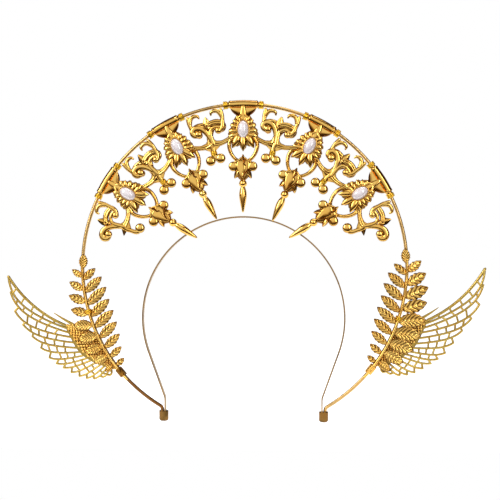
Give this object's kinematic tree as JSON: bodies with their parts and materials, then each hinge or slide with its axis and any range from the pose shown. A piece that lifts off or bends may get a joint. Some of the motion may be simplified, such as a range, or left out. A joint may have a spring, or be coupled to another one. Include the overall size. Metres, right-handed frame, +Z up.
{
  "type": "halo crown headpiece",
  "caption": "Gilt halo crown: scrollwork panels with pearls and inward spikes bound to a wire hoop over a headband, with leaf sprigs and openwork wings.",
  "frame": {"origin": "centre of the headband's arch, in the middle of the strip's width", "axes": "+Z up towards the top of the hoop, +X to the right seen from the front, the pearls face -Y"},
  "size_m": [0.3138, 0.0102, 0.2095],
  "materials": {
    "cast_gold": "polished gilt casting",
    "leaf_gold": "satin gilt stamping",
    "wing_gold": "thin gilt filigree",
    "satin_wire": "satin gilt wire and strip",
    "binding_wire": "bright gilt wire",
    "pearl": "pearlescent"
  },
  "bodies": {
    "root": {"headband": "satin_wire", "hoop_wire": "satin_wire", "ferrule_left": "satin_wire", "ferrule_right": "satin_wire", "scroll_panel_1": "cast_gold", "scroll_panel_2": "cast_gold", "scroll_panel_3": "cast_gold", "scroll_panel_4": "cast_gold", "scroll_panel_5": "cast_gold", "pearl_1": "pearl", "pearl_2": "pearl", "pearl_3": "pearl", "pearl_4": "pearl", "pearl_5": "pearl", "drop_spike_1": "cast_gold", "drop_spike_2": "cast_gold", "drop_spike_3": "cast_gold", "drop_spike_4": "cast_gold", "drop_spike_5": "cast_gold", "barrel_wrap_1_left": "binding_wire", "barrel_wrap_1_right": "binding_wire", "barrel_wrap_2_left": "binding_wire", "barrel_wrap_2_right": "binding_wire", "barrel_wrap_3_left": "binding_wire", "barrel_wrap_3_right": "binding_wire", "barrel_wrap_4_left": "binding_wire", "barrel_wrap_4_right": "binding_wire", "barrel_wrap_5_left": "binding_wire", "barrel_wrap_5_right": "binding_wire", "link_tie_1": "binding_wire", "link_tie_2": "binding_wire", "link_tie_3": "binding_wire", "link_tie_4": "binding_wire", "leaf_sprig_left": "leaf_gold", "leaf_sprig_right": "leaf_gold", "wing_left": "wing_gold", "wing_right": "wing_gold", "stem_wrap_left": "binding_wire", "stem_wrap_right": "binding_wire", "root_wrap_left": "binding_wire", "root_wrap_right": "binding_wire"}
  },
  "joints": []
}
